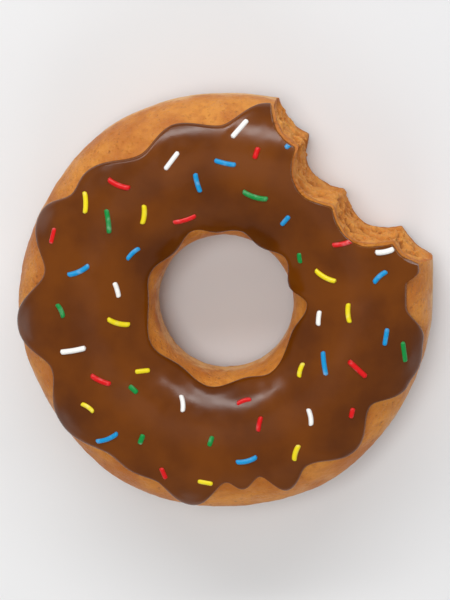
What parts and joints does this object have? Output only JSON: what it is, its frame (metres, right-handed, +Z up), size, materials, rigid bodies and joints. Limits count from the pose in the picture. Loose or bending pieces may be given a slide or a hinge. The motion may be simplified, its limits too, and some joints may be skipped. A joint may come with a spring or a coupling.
{
  "type": "bitten doughnut",
  "caption": "Ring doughnut with a flat base, chocolate icing dripping over its upper half, coloured sprinkles, and a bite taken out of one side.",
  "frame": {"origin": "on the surface that the doughnut rests on, on the axis of its hole", "axes": "+Z up along the axis of the hole; the bite faces 46 degrees from +X towards -Y"},
  "size_m": [0.092, 0.0921, 0.0299],
  "materials": {
    "dough": "fried crust, golden brown, with a paler open crumb inside",
    "icing": "set chocolate icing, satin gloss",
    "sprinkles_red": "sugar strand",
    "sprinkles_yellow": "sugar strand",
    "sprinkles_green": "sugar strand",
    "sprinkles_blue": "sugar strand",
    "sprinkles_white": "sugar strand"
  },
  "bodies": {
    "root": {"dough": "dough", "icing": "icing"}
  },
  "joints": []
}
